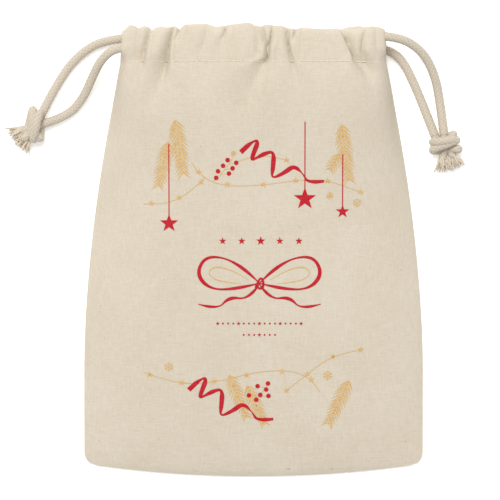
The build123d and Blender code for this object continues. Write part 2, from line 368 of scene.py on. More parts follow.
def braidRelief(turn, along):
    # two sets of strands that pass over and under each other
    a = turn * braid["strands"] / 2 + along / braid["lay"]
    b = turn * braid["strands"] / 2 - along / braid["lay"]
    over = (math.floor(a) + math.floor(b)) % 2 == 0
    across = (b if over else a) % 1.0
    lengthwise = (a if over else b) % 1.0
    crown = 1 - (2 * across - 1) ** 2
    return crown ** 0.6 * (0.72 + 0.28 * math.sin(math.pi * lengthwise))


def braidedTube(name, path, radius, squeeze=None):
    # a plaited surface swept along the path, with its own yarn coordinates
    points, length = evenPoints(path, braid["step"])
    sides = braid["sides"]
    normal = Vector((0, 0, 1))
    verts, relief = [], []
    for i, here in enumerate(points):
        ahead = points[min(i + 1, len(points) - 1)] - points[max(i - 1, 0)]
        ahead.normalize()
        normal = (normal - ahead * normal.dot(ahead)).normalized()
        side = ahead.cross(normal)
        along = length * i / (len(points) - 1)
        for j in range(sides):
            turn = j / sides
            height = braidRelief(turn, along)
            out = radius - braid["relief"] * (1 - height)
            angle = 2 * math.pi * turn
            flat = squeeze(i / (len(points) - 1)) if squeeze else 1.0
            verts.append(here + normal * (math.cos(angle) * out * flat) + side * (math.sin(angle) * out))
            relief.append(height)
    rings = len(points)
    faces = []
    for i in range(rings - 1):
        for j in range(sides):
            k = (j + 1) % sides
            faces.append((i * sides + j, i * sides + k, (i + 1) * sides + k, (i + 1) * sides + j))
    for ring, flip in ((0, True), (rings - 1, False)):
        centre = len(verts)
        verts.append(points[ring])
        relief.append(0.3)
        for j in range(sides):
            a, b = ring * sides + j, ring * sides + (j + 1) % sides
            faces.append((b, a, centre) if flip else (a, b, centre))
    piece = meshPiece(name, verts, faces)
    values = piece.data.attributes.new("relief", "FLOAT", "POINT")
    values.data.foreach_set("value", relief)
    layer = piece.data.uv_layers.new(name="yarn")
    for face in piece.data.polygons:
        columns = [piece.data.loops[k].vertex_index % sides for k in face.loop_indices]
        wraps = max(columns) - min(columns) > 1
        for k, column in zip(face.loop_indices, columns):
            vertex = piece.data.loops[k].vertex_index
            row = min(vertex // sides, rings - 1)
            around = (column + sides if wraps and column == 0 else column) / sides
            layer.data[k].uv = (around, row * length / (rings - 1) / (10 * mm))
    editWhole(piece, bpy.ops.mesh.normals_make_consistent)
    bpy.ops.object.shade_smooth()
    return piece, points, length


def scaled(points):
    return [Vector(p) * mm for p in points]


# tails
tailNodes = {
    "leftFrontTail": ("left_cord_front_tail", "left"),
    "leftBackTail": ("left_cord_back_tail", "left"),
    "rightFrontTail": ("right_cord_front_tail", "right"),
    "rightBackTail": ("right_cord_back_tail", "right"),
}
tails = {}
for name, route in tailRoutes.items():
    node, side = tailNodes[name]
    piece, points, length = braidedTube(name, splinePoints(name, scaled(route)), braid["radius"])
    finish(piece, cottonBraid, "cotton_cord", f"{side}_drawstring", node)
    tails[name] = (piece, points, length)
    print(name, "length", round(length / mm, 1))

# runs through the casings, with their turn round the far end of the mouth
runs = {"upper": 94.4, "lower": 89.7, "front": 14.3, "sunk": 12.2, "back": 2.9, "raised": 3.6,
        "turnOut": 57.0, "turnCross": 0.4, "squash": 0.72}


def runRoute(way, frontLane, backLane):
    out = runs["turnOut"]
    far = [(-way * (out - 6), frontLane, runs["front"]), (-way * out, frontLane, runs["front"] - 0.4),
           (-way * out, mix(frontLane, backLane, runs["turnCross"]), (runs["front"] + runs["back"]) / 2),
           (-way * out, backLane, runs["back"] + 0.4), (-way * (out - 6), backLane, runs["back"])]
    return scaled([(way * 51.2, frontLane, runs["front"]), (way * 40, frontLane, runs["front"] - 0.3),
                   (way * 26, frontLane, runs["sunk"]), (-way * 26, frontLane, runs["sunk"]),
                   (-way * 40, frontLane, runs["front"] - 0.3), *far,
                   (-way * 30, backLane, runs["raised"]), (way * 30, backLane, runs["raised"] + 0.01),
                   (way * 51.2, backLane, runs["back"])])


def runSquash(share):
    # pressed flatter between the walls of a casing than where it comes out
    inside = ease(share / 0.1) * ease((1 - share) / 0.1)
    return mix(1.0, runs["squash"], inside)


for side, way, frontLane, backLane in (("left", -1, runs["lower"], runs["upper"]),
                                       ("right", 1, runs["upper"], runs["lower"])):
    path = splinePoints(f"{side}Run", runRoute(way, frontLane, backLane))
    piece, _, _ = braidedTube(f"{side}Run", path, braid["radius"] * 0.97, squeeze=runSquash)
    finish(piece, cottonBraid, "cotton_cord", f"{side}_drawstring", f"{side}_cord_run")

# knots: both ends of a cord wound once round themselves
knotShape = {
    "wrapWide": 5.9,  # half width of the wrap, middle of the strand
    "wrapHigh": (2.5, 3.6),  # the second strand lies over the first
    "strandGap": 3.0,
    "turns": 1.22,
    "climb": (5.2, -3.4),  # how far each strand's turn climbs along the cord, so that they cross
    "strand": 1.85,
    "middle": 5.8,  # height of the knot's middle
    "startAngle": -62,
    "steps": 11,
}
knotPlaces = {
    "left": {"centre": (-96.6, 55.6), "down": 173.0, "fan": 222.0, "wide": 1.12,
             "tails": ("leftFrontTail", "leftBackTail")},
    "right": {"centre": (84.3, 47.3), "down": 283.0, "fan": 286.0, "wide": 0.98,
              "tails": ("rightBackTail", "rightFrontTail")},
}


def knotPoint(place, across, down, up):
    # across the cords, down toward the frayed end, up from the middle of the knot
    along = direction(math.radians(place["down"]))
    side = Vector((-along.y, along.x, 0))
    centre = Vector((*place["centre"], knotShape["middle"]))
    return (centre + side * across + along * down + Vector((0, 0, up))) * mm


for side, place in knotPlaces.items():
    strands = []
    for k, tailName in enumerate(place["tails"]):
        sign = 1 if k == 0 else -1
        tailPoints = tails[tailName][1]
        onward = (tailPoints[-1] - tailPoints[-6]).normalized()
        shift = sign * knotShape["strandGap"] / 2
        route = [tailPoints[-1] - onward * mm, tailPoints[-1] + onward * 0.5 * mm,
                 tailPoints[-1] + onward * 2.5 * mm, knotPoint(place, 0.5, shift, -2.8)]
        for i in range(knotShape["steps"]):
            share = i / (knotShape["steps"] - 1)
            angle = math.radians(knotShape["startAngle"] + 360 * knotShape["turns"] * share)
            wide = knotShape["wrapWide"] * place["wide"] * (1.04 - 0.14 * k + 0.05 * math.sin(3 * angle + k))
            climb = knotShape["climb"][k] * (share - 0.5)
            high = knotShape["wrapHigh"][k] * math.sin(angle)
            route.append(knotPoint(place, wide * math.cos(angle), shift + climb, high))
        outward = direction(math.radians(place["fan"])) * mm
        aside = Vector((-outward.y, outward.x, 0))
        middle = knotPoint(place, 0, 0, -2.0)
        route += [middle + outward * 2.4 + aside * (sign * 1.2),
                  middle + outward * 6.6 + aside * (sign * 2.4)]
        piece, points, _ = braidedTube(f"{side}KnotStrand{k + 1}", splinePoints("knotLine", route),
                                       knotShape["strand"] * mm)
        strands.append((piece, points))
        finish(piece, cottonBraid, "cotton_cord", f"{side}_drawstring", f"{side}_cord_knot")
    place["strands"] = strands
print("cords and knots made")

# frayed ends: each end combed out into its yarns
fray = {"yarns": 30, "fibres": 44, "yarnThick": 0.5 * mm, "fibreThick": 0.11 * mm, "reach": 5.8 * mm,
        "spread": 0.52}


def frayedEnd(name, root, heading, seed):
    chance = random.Random(seed)
    curve = bpy.data.curves.new(name, "CURVE")
    curve.dimensions = "3D"
    curve.bevel_depth = 1.0
    curve.bevel_resolution = 1
    side = heading.cross(Vector((0, 0, 1))).normalized()
    lift = side.cross(heading).normalized()
    for i in range(fray["yarns"] + fray["fibres"]):
        yarn = i < fray["yarns"]
        angle = chance.uniform(0, 2 * math.pi)
        out = math.sqrt(chance.random())
        start = root + side * (math.cos(angle) * out * 1.6 * mm) + lift * (math.sin(angle) * out * 1.5 * mm)
        lean = (side * math.cos(angle) + lift * math.sin(angle) * 0.8) * out * chance.uniform(0.5, 1.2)
        reach = fray["reach"] * chance.uniform(0.55, 1.05) * (1.0 if yarn else 1.12)
        spline = curve.splines.new("POLY")
        spline.points.add(7)
        curl = chance.uniform(-1, 1)
        for k, point in enumerate(spline.points):
            t = k / 7
            place = start + heading * (reach * t) + lean * (fray["spread"] * reach * t ** 1.3)
            place += side * (curl * 0.5 * mm * math.sin(4 * t + curl)) * t
            place.z = max(place.z - 1.2 * mm * t * t, 0.4 * mm)
            point.co = (*place, 1.0)
            point.radius = (fray["yarnThick"] if yarn else fray["fibreThick"]) * (1 - 0.45 * t * t)
    holder = addObject(name, curve)
    makeActive(holder)
    bpy.ops.object.convert(target="MESH")
    piece = bpy.context.object
    bpy.ops.object.shade_smooth()
    return piece


for side, place in knotPlaces.items():
    for k, (strand, points) in enumerate(place["strands"]):
        face = ("front", "back")[k] if side == "left" else ("back", "front")[k]
        root = points[-1]
        heading = (points[-1] - points[-8]).normalized()
        fan = direction(math.radians(place["fan"])) - Vector((0, 0, 0.05))
        piece = frayedEnd(f"{side}{face.title()}FrayedEnd", root - fan * 0.8 * mm,
                          (heading + fan).normalized(), 11 + k)
        finish(piece, rawFibre, "cotton_cord", f"{side}_drawstring", f"{side}_cord_{face}_frayed_end")
print("frayed ends combed out")

for name, (piece, points, length) in tails.items():
    node, side = tailNodes[name]


# the canvas: each side is one cloth, sewn up the sides and folded over at the mouth into a casing
pouch = {
    "thickness": 0.55,
    "corner": 6.0,
    "bottomSag": 4.6,
    "straightFrom": -53.0,
    "sidePower": 1.8,
    "shoulderHalf": 58.4,
    "stitchY": 82.6,
    "columns": 300,
    "rows": (130, 34, 24),  # up the panel, up the casing, down the hem inside
    "frontCrest": 17.6,  # height of the gathered front at the mouth
    "bodyHeight": 0.53,  # share of it left below the flare
    "flare": 0.25,  # share of the length over which the mouth's height dies away
    "seamRise": 8.0,  # the side seams climb to here at the foot of the slits
    "seamGap": 0.2,  # half the step between the two cloths where they are sewn together
    "tubeHalf": 2.9,  # half the height of a casing's tube at its top fold
    "hemDeep": (7.8, 6.2),  # from the outer wall to the hem, front and back
    "laneDepth": (2.85, 1.2),  # a fold goes no deeper than this over the cords, front and back
}
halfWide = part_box("back_panel")[1][0] / mm
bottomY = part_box("back_panel")[0][1] / mm
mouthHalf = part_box("right_front_slit_flap")[1][0] / mm

# each fold of the gathers, from the mouth down: height on the cloth, place across, depth,
# and how far it opens to the left and to the right
frontFolds = [
    [(98, -50.6, 1.0, 0.9, 0.9), (92, -50.9, 0.9, 1.2, 1.2), (86, -51.4, 0.4, 1.8, 1.8),
     (80, -52.0, 0.0, 2.5, 2.5)],
    [(98, -44.9, 2.4, 1.3, 0.7), (92, -46.5, 2.0, 1.4, 0.7), (88, -47.5, 2.2, 1.9, 0.7),
     (84, -48.1, 2.9, 2.6, 0.8),
     (80.5, -49.0, 1.9, 3.0, 1.6), (75, -50.8, 0.6, 3.6, 3.0), (70, -52.0, 0.0, 4.0, 4.0)],
    [(98, -42.8, 0.9, 0.7, 0.7), (94, -43.6, 0.7, 0.7, 0.9), (90, -44.4, 0.0, 1.0, 1.0)],
    [(98, -35.0, 2.8, 1.2, 0.7), (93, -36.3, 2.6, 1.5, 0.6), (88, -37.2, 2.9, 2.1, 0.6),
     (84.5, -37.4, 4.0, 3.2, 0.6),
     (80, -38.6, 3.8, 3.8, 1.2), (76, -39.8, 2.8, 4.0, 2.2), (71, -41.8, 1.6, 4.6, 3.2),
     (60, -46.0, 0.0, 7.0, 6.0)],
    [(98, -32.2, 1.9, 0.8, 0.9), (94, -33.6, 1.1, 0.8, 0.9), (90, -35.0, 0.0, 1.0, 1.0)],
    [(98, -20.2, 0.5, 1.0, 1.4), (90, -22.0, 0.7, 1.3, 1.8), (82, -24.0, 0.0, 3.0, 3.0)],
    [(98, -12.0, 2.0, 0.7, 0.8), (95, -12.5, 1.4, 0.9, 0.8), (92, -13.8, 0.7, 1.6, 1.2),
     (86, -15.4, 0.5, 2.2, 2.0),
     (79, -17.0, 0.0, 3.0, 3.0)],
    [(98, 1.2, 0.4, 1.4, 1.6), (90, 2.0, 0.9, 1.6, 2.0), (84, 1.8, 0.8, 2.4, 2.0), (80, 2.4, 0.0, 3.0, 3.0)],
    [(98, 3.9, 1.6, 1.5, 0.8), (93, 5.0, 2.1, 1.7, 0.7), (89, 5.9, 2.3, 1.4, 0.7),
     (86.5, 6.2, 0.0, 1.0, 0.8)],
    [(98, 8.4, 0.9, 0.6, 1.1), (92.5, 7.4, 2.0, 0.6, 0.9), (88, 6.4, 3.0, 0.9, 0.8), (84, 6.1, 3.2, 1.3, 0.9),
     (81.5, 4.6, 2.5, 3.4, 1.6), (77, 2.0, 2.0, 4.6, 3.0), (71, -1.0, 1.4, 5.6, 4.0),
     (54, -5.0, 0.0, 9.0, 8.0)],
    [(98, 15.1, 2.2, 1.1, 0.7), (91, 15.3, 2.3, 1.2, 0.6), (86, 16.2, 2.3, 1.2, 0.6),
     (82.4, 17.0, 1.6, 1.4, 0.8),
     (76, 18.6, 0.8, 3.0, 2.4), (66, 20.4, 0.0, 6.0, 6.0)],
    [(98, 18.9, 1.9, 0.6, 0.6), (94, 17.6, 1.2, 0.6, 0.7), (90, 16.8, 0.0, 1.0, 1.0)],
    [(92, 20.8, 0.2, 1.2, 1.6), (87.5, 20.6, 0.5, 1.4, 2.0), (80, 21.4, 0.0, 2.4, 3.0)],
    [(98, 37.6, 2.6, 0.32, 2.9), (92, 40.3, 3.0, 0.30, 2.7), (86, 43.0, 3.0, 0.34, 2.4),
     (83, 44.6, 2.8, 0.8, 3.0),
     (79, 48.6, 2.4, 2.4, 4.6), (73, 51.5, 1.2, 3.6, 5.0), (62, 53.0, 0.0, 6.0, 6.0)],
    [(98, 49.4, 0.8, 1.0, 1.2), (92, 47.9, 1.5, 1.0, 1.3), (87.5, 47.4, 2.2, 1.1, 1.5),
     (83, 48.6, 2.6, 2.2, 2.8),
     (79, 50.4, 1.0, 3.0, 3.6), (73, 52.6, 0.0, 4.0, 4.0)],
    [(98, 53.4, 0.6, 0.8, 0.9), (90, 53.8, 0.5, 1.0, 1.2), (82, 54.4, 0.0, 2.0, 2.0)],
]
backFolds = [[(y, 1.5 - 0.97 * x, 0.8 * depth, right, left) for y, x, depth, left, right in fold]
             for fold in frontFolds]

# the top edge from left to right, where the cloth folds over; it drops into the gathers
frontTop = [(-57.6, 96.2), (-56.2, 97.0), (-54.2, 98.9), (-52.4, 98.5), (-50.4, 97.4), (-48.0, 98.3),
            (-46.2, 98.0),
            (-44.5, 96.4), (-42.6, 97.6), (-40.8, 98.1), (-38.0, 97.7), (-34.6, 98.4), (-33.4, 97.6),
            (-32.4, 96.7),
            (-31.3, 97.8), (-30.0, 99.0), (-20.6, 99.3), (-16.6, 98.0), (-12.4, 98.4), (-11.0, 98.9),
            (-2.0, 99.8),
            (0.9, 98.5), (2.8, 98.2), (5.4, 98.9), (12.4, 98.3), (15.4, 97.4), (18.4, 96.9), (20.5, 97.5),
            (30.4, 97.0), (36.6, 97.3), (38.4, 96.6), (46.5, 96.8), (49.5, 98.0), (52.1, 98.2), (55.0, 97.9),
            (56.8, 97.2), (57.6, 96.9)]
backTop = [(-57.6, 95.6), (-50.0, 97.4), (-44.5, 95.8), (-38.0, 97.0), (-32.4, 96.0), (-20.0, 98.2),
           (0.0, 98.0),
           (18.0, 96.4), (34.0, 96.8), (37.0, 97.4), (43.0, 98.9), (48.0, 99.2), (50.0, 97.6), (57.6, 95.4)]


def alongLine(line, x):
    # height of a line of points at this place, eased from point to point
    if x <= line[0][0]:
        return line[0][1]
    for (x0, y0), (x1, y1) in zip(line, line[1:]):
        if x <= x1:
            return mix(y0, y1, mix((x - x0) / (x1 - x0), ease((x - x0) / (x1 - x0)), 0.6))
    return line[-1][1]


def foldDepth(x, y, folds):
    # how far the cloth sinks here, and rises a little beside each sharp fold
    total = 0.0
    for fold in folds:
        if y < fold[-1][0] or (fold[0][0] < 95 and y > fold[0][0] + 3):
            continue
        centre, depth, left, right = fold[0][1:]
        if y < fold[0][0]:
            for upper, lower in zip(fold, fold[1:]):
                if y >= lower[0]:
                    t = (upper[0] - y) / (upper[0] - lower[0])
                    centre, depth, left, right = [mix(upper[k], lower[k], t) for k in (1, 2, 3, 4)]
                    break
        d = (x - centre) / (left if x < centre else right)
        if abs(d) < 6:
            total += depth * (math.exp(-abs(d) ** 1.5) - 0.16 * math.exp(-((abs(d) - 2.7) / 1.3) ** 2))
    return total


def slack(x, y, phase):
    # soft waves between the folds, which die out down the bag
    fade = ease((y - 10) / 75)
    return fade * (0.12 * math.sin(x * 0.42 + phase) + 0.22 * math.sin(x * 0.21 + y * 0.04 - 1.3 * phase))


def sideHalf(y):
    if y > pouch["straightFrom"]:
        share = (y - pouch["straightFrom"]) / (pouch["stitchY"] - pouch["straightFrom"])
        return halfWide - (halfWide - pouch["shoulderHalf"]) * min(share, 1) ** pouch["sidePower"]
    start = bottomY + pouch["bottomSag"] + pouch["corner"]
    drop = min(max(start - y, 0), pouch["corner"])
    return halfWide - pouch["corner"] + math.sqrt(pouch["corner"] ** 2 - drop ** 2)


def acrossShape(across, share):
    # fuller toward the mouth, where the gathers hold the cloth up almost to its sides
    mouthward = (1 - share) ** 6
    return max(1 - abs(across) ** (3.2 + 10.8 * mouthward), 0) ** (0.78 - 0.28 * mouthward)


def panelPlace(across, up, face):
    foot = bottomY + pouch["bottomSag"]
    flat = mix(foot, pouch["stitchY"], up)
    x = across * sideHalf(flat)
    inward = 1 - min(1, (x / (halfWide - pouch["corner"])) ** 2)
    y = flat - pouch["bottomSag"] * ease((-55 - flat) / (-55 - foot)) * inward
    share = 1 - up
    shape = acrossShape(across, share)
    climb = ease((flat - 50) / (pouch["stitchY"] - 50)) ** 1.6
    pinch = math.exp(-((pouch["stitchY"] - y) / 1.1) ** 2)
    if face == "front":
        seam = mix(0.95, pouch["seamRise"] + pouch["seamGap"], climb)
        flared = pouch["bodyHeight"] + (1 - pouch["bodyHeight"]) * math.exp(-(share / pouch["flare"]) ** 2)
        crest = (pouch["frontCrest"] - 1.2) * flared * (1 - share ** 2) ** 0.6 + 1.2
        sunk = foldDepth(x, y, frontFolds) + 0.16 * pinch - slack(x, y, 0.7)
        return x, y, max(seam + max(crest - seam, 0) * shape - sunk * shape, 0.9)
    seam = mix(0.45, pouch["seamRise"] - pouch["seamGap"], climb)
    sunk = foldDepth(x, y, backFolds) * 0.8 + 0.16 * pinch + 0.3 + slack(x, y, 2.1)
    return x, y, max(mix(seam, 0.35 + max(sunk, 0) * ease((flat - 20) / 50), shape ** 0.8), 0.3)


def casingPlace(across, along, face, inner):
    # along runs from the stitches up to the top fold, on the outer wall or on the hem behind it
    front = face == "front"
    folds, top, level = (frontFolds, frontTop, pouch["frontCrest"]) if front else (backFolds, backTop, 0.35)
    x = across * mix(pouch["shoulderHalf"], mouthHalf, ease(along * 2.2))
    rise = math.sin(math.pi / 2 * along)
    y = mix(pouch["stitchY"], alongLine(top, x), rise)
    roll = 1 - math.sqrt(max(1 - rise ** (14 if inner else 7), 0))  # the hem leaves the fold more sharply
    limit = mix(9.0, pouch["laneDepth"][0 if front else 1], ease((y - pouch["stitchY"]) / 4))
    sunk = foldDepth(x, y, folds) * (1.0 if front else 0.8)
    sunk = min(sunk, limit) - slack(x, y, 0.7 if front else 2.1) * (1 if front else -1)
    shape = acrossShape(across, 0)
    if inner:
        pinch = math.exp(-((y - pouch["stitchY"]) / 2.4) ** 2)
        depth = mix(mix(pouch["hemDeep"][0 if front else 1], pouch["tubeHalf"], roll), 0.9, pinch)
        sunk *= mix(0.2, 1.0, max(pinch, roll))
    else:
        depth = pouch["tubeHalf"] * roll + 0.16 * math.exp(-((y - pouch["stitchY"]) / 1.1) ** 2)
        sunk *= mix(1.0, 0.75, roll)
    opened = ease(along * 3.5)
    gap = (level - pouch["seamRise"] if front else pouch["seamRise"] - level) - pouch["seamGap"]
    edge = mix(gap, 2.0, opened)
    down = depth * mix(1, mix(0.7, 1, shape), opened) + sunk * shape + edge * (1 - shape)
    return x, y, level - down if front else max(level + down, 0.3)


def wholeCloth(name, face):
    # a flat grid, each corner then moved to its place on the cloth
    panelRows, casingRows, hemRows = pouch["rows"]
    total = panelRows + casingRows + hemRows
    deselect()
    bpy.ops.mesh.primitive_grid_add(x_subdivisions=pouch["columns"], y_subdivisions=total, size=2)
    cloth = bpy.context.object
    cloth.name = name
    for vertex in cloth.data.vertices:
        across, row = vertex.co.x, round((vertex.co.y + 1) / 2 * total)
        if row <= panelRows:
            place = panelPlace(across, row / panelRows, face)
        elif row <= panelRows + casingRows:
            place = casingPlace(across, (row - panelRows) / casingRows, face, False)
        else:
            place = casingPlace(across, 1 - 0.97 * (row - panelRows - casingRows) / hemRows, face, True)
        vertex.co = Vector(place) * mm
    cloth.data.update()
    return cloth


def halves(piece, name):
    # the left and right halves follow different drawstrings, so they part at the middle line
    out = {}
    for side, way in ways.items():
        deselect()
        copy = duplicate(piece, f"{side}{name}")
        editWhole(copy, lambda: bpy.ops.mesh.bisect(
            plane_co=(0, 0, 0), plane_no=(1, 0, 0), clear_inner=way > 0, clear_outer=way < 0))
        out[side] = copy
    return out


def gather(piece):
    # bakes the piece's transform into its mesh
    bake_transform(piece)


clothNodes = {
    "front": ("FrontCloth", ["front_panel", "front_casing", "front_hem", "{side}_front_slit_flap"]),
    "back": ("BackCloth", ["back_panel", "back_casing", "back_hem", "{side}_back_slit_flap"]),
}
wholes = {}
for face, (name, nodes) in clothNodes.items():
    whole = wholeCloth(face + "Whole", face)
    if face == "back":
        editWhole(whole, bpy.ops.mesh.flip_normals)
    wholes[face] = whole
    for side, piece in halves(whole, name).items():
        applyModifier(piece, "SOLIDIFY", thickness=pouch["thickness"] * mm, offset=0)
        smooth(piece, 75)
        finish(piece, cottonCanvas, "cotton_canvas", None, *[n.format(side=side) for n in nodes])
        gather(piece)
print("canvas gathered")

# print: flat shapes drawn in the plane, cut fine enough to bend, then laid on the canvas
inkFilm = {
    "gold": 0.32 * mm,  # above the middle of the cloth
    "red": 0.42 * mm,
    "layers": 7,
    "layer": 0.008 * mm,
    "drawnAt": 40 * mm,  # the shapes start this high, then drop onto the cloth
    "grid": 1.5,
    "reach": (50, 81),
    "threadWide": 0.46,
    "starPoints": 5,
    "starInner": 0.40,
}


def stroke(shapes, points, widths, rounded=True):
    # a ribbon of changing width along a smooth line
    line = splinePoints("stroke", [Vector((x, y, 0)) * mm for x, y in points]) if rounded else scaled(
        [(x, y, 0) for x, y in points])
    lengths = [0.0]
    for a, b in zip(line, line[1:]):
        lengths.append(lengths[-1] + (b - a).length)
    left, right = [], []
    for i, here in enumerate(line):
        ahead = (line[min(i + 1, len(line) - 1)] - line[max(i - 1, 0)]).normalized()
        place = lengths[i] / lengths[-1] * (len(widths) - 1)
        k = min(int(place), len(widths) - 2)
        wide = mix(widths[k], widths[k + 1], ease(place - k)) * mm / 2
        left.append(here + Vector((-ahead.y, ahead.x, 0)) * wide)
        right.append(here - Vector((-ahead.y, ahead.x, 0)) * wide)
    for a, b, c, d in zip(left, right, right[1:], left[1:]):
        shapes.append([a, b, c, d])


def spike(shapes, x, y, heading, reach, wide):
    # one needle or one arm: thickest a third of the way out
    along = direction(heading)
    side = Vector((-along.y, along.x, 0))
    root = Vector((x, y, 0))
    shapes.append([p * mm for p in (root + side * wide * 0.3, root - side * wide * 0.3,
                                    root + along * reach * 0.4 - side * wide * 0.5, root + along * reach,
                                    root + along * reach * 0.4 + side * wide * 0.5)])


def star(shapes, x, y, reach, turn=90.0):
    count = inkFilm["starPoints"]
    for k in range(count):
        tip, before, after = [math.radians(turn + 360 * (k + d) / count) for d in (0, -0.5, 0.5)]
        inner = reach * inkFilm["starInner"]
        shapes.append([Vector(p) * mm for p in (
            (x, y, 0), (x + inner * math.cos(before), y + inner * math.sin(before), 0),
            (x + reach * math.cos(tip), y + reach * math.sin(tip), 0),
            (x + inner * math.cos(after), y + inner * math.sin(after), 0))])


def dot(shapes, x, y, radius):
    shapes.append([Vector((x + radius * math.cos(a), y + radius * math.sin(a), 0)) * mm
                   for a in [2 * math.pi * k / 14 for k in range(14)]])


def sprig(shapes, top, tip, reach):
    # a fir twig: needles in pairs, each pointing toward the tip
    (x0, y0), (x1, y1) = top, tip
    heading = math.atan2(y1 - y0, x1 - x0)
    count = int(math.hypot(x1 - x0, y1 - y0) / 1.5)
    stroke(shapes, [top, tip], [0.6, 0.35], rounded=False)
    for k in range(count):
        t = k / count
        x, y = mix(x0, x1, t), mix(y0, y1, t)
        wide = reach * (0.72 + 0.28 * math.sin(math.pi * min(1, 0.25 + t)))
        for way in (-1, 1):
            spike(shapes, x, y, heading + way * math.radians(40 + 3 * math.sin(5 * k + way)), wide, 0.78)


def snowflake(shapes, x, y, reach):
    for k in range(6):
        heading = math.radians(30 + 60 * k)
        spike(shapes, x, y, heading, reach, 0.5)
        for way in (-0.9, 0.9):
            spike(shapes, x + 0.5 * reach * math.cos(heading), y + 0.5 * reach * math.sin(heading),
                  heading + way, reach * 0.45, 0.42)


def garland(shapes, points, stars):
    stroke(shapes, points, [0.32, 0.32])
    for x, y, turn in stars:
        star(shapes, x, y, 1.6, turn)


reds, golds = [], []
for top, tip, reach in (((-34.4, 57.2), (-31.0, 33.4), 6.6), ((-37.4, 47.6), (-41.8, 28.0), 5.8),
                        ((38.6, 55.2), (42.0, 30.6), 6.2), ((37.6, 42.4), (33.4, 35.0), 4.8),
                        ((-10.8, -55.2), (-2.8, -74.0), 5.6), ((-2.8, -59.8), (5.0, -77.0), 5.4),
                        ((42.2, -57.6), (33.0, -77.0), 5.8)):
    sprig(golds, top, tip, reach)
garland(golds, [(-48.4, 20.6), (-40.6, 20.2), (-32.2, 23.0), (-26.0, 27.6), (-21.4, 32.0)],
        [(-45.0, 20.8, 80), (-32.6, 23.4, 100), (-23.0, 30.2, 95)])
garland(golds, [(-27.0, 38.4), (-23.6, 32.6), (-13.0, 28.2), (3.0, 28.6), (18.6, 30.8), (34.4, 31.2),
                (48.4, 25.0)],
        [(-24.2, 34.6, 70), (-11.6, 29.0, 90), (4.4, 29.0, 84), (18.6, 30.8, 96), (32.6, 30.6, 88),
         (47.0, 25.8, 75)])
garland(golds, [(-8.0, 38.8), (0.0, 41.6), (8.6, 41.4), (15.6, 39.4)], [(14.4, 39.8, 90)])
garland(golds, [(-48.6, -53.8), (-38.8, -57.4), (-27.0, -59.2), (-14.0, -57.6), (1.0, -53.6), (16.4, -52.8),
                (26.0, -56.8), (29.4, -62.8)],
        [(-46.0, -54.8, 90), (-31.6, -58.4, 80), (-17.4, -57.9, 96), (-3.0, -55.0, 90), (12.6, -53.4, 84),
         (25.4, -57.0, 90)])
garland(golds, [(13.8, -62.4), (20.4, -57.4), (27.4, -51.6), (36.0, -46.0), (48.6, -43.6)],
        [(14.6, -61.8, 90), (23.8, -54.6, 100), (35.0, -46.8, 85), (47.4, -43.8, 90)])
for x, y, reach in ((33.6, 24.2, 1.9), (45.6, 21.0, 2.3), (-37.4, -51.4, 2.4), (32.8, -55.2, 2.5),
                    (-8.8, 42.6, 1.5)):
    snowflake(golds, x, y, reach)

# berries on their stalks
for stem, berries in ((((-18.0, 30.4), (-13.4, 33.4), (-9.0, 41.0)),
                       ((-11.4, 39.8), (-7.6, 38.6), (-13.4, 37.3), (-15.6, 34.9), (-10.8, 33.9),
                        (-16.4, 32.0), (-9.2, 36.2))),
                      (((0.4, -67.6), (3.6, -63.2), (6.8, -58.0)),
                       ((1.8, -59.9), (6.4, -58.7), (5.6, -61.4), (3.0, -63.8), (1.2, -65.9),
                        (-2.0, -64.0), (6.6, -64.2)))):
    stroke(golds, stem, [0.3, 0.25])
    for x, y in berries:
        along = min(max((y - stem[0][1]) / (stem[-1][1] - stem[0][1]), 0), 1)
        foot = (mix(stem[0][0], stem[-1][0], along), mix(stem[0][1], stem[-1][1], along) - 0.8)
        stroke(golds, [foot, (x, y)], [0.22, 0.22], rounded=False)
        dot(reds, x, y, 1.02)

# stars hung on threads
for x, top, y, reach in ((-37.2, 46.8, 12.0, 4.2), (22.6, 56.6, 22.8, 5.1), (39.2, 42.4, 17.2, 3.1)):
    stroke(reds, [(x, top), (x, y + reach * 0.8)], [inkFilm["threadWide"]] * 2, rounded=False)
    star(reds, x, y, reach)

# curled gift ribbon, broad where it faces out and thin where it turns
curl = [(0, 0), (4.2, 4.2), (8.0, 5.6), (5.4, -1.0), (4.6, -3.8), (10.6, -0.4), (14.6, 0.4), (14.2, -6.4),
        (13.4, -11.8),
        (19.4, -8.8), (23.4, -5.8), (27.4, -9.4), (29.6, -13.6), (36.6, -12.6)]
curlWidths = [2.1, 2.0, 0.9, 2.1, 1.9, 1.0, 1.8, 1.2, 2.1, 1.9, 0.8, 1.5, 2.0, 1.6, 0.5, 1.1, 1.6, 1.2]
for x, y, wide in ((-5.6, 43.2, 1.0), (-28.6, -61.6, 1.02)):
    stroke(reds, [(x + wide * px, y + wide * py) for px, py in curl], curlWidths)

# in the middle, a tied bow under a row of stars, with two rows of dots below
bowX = 2.6


def besideBow(way, points):
    return [(bowX + way * x, y) for x, y in points]


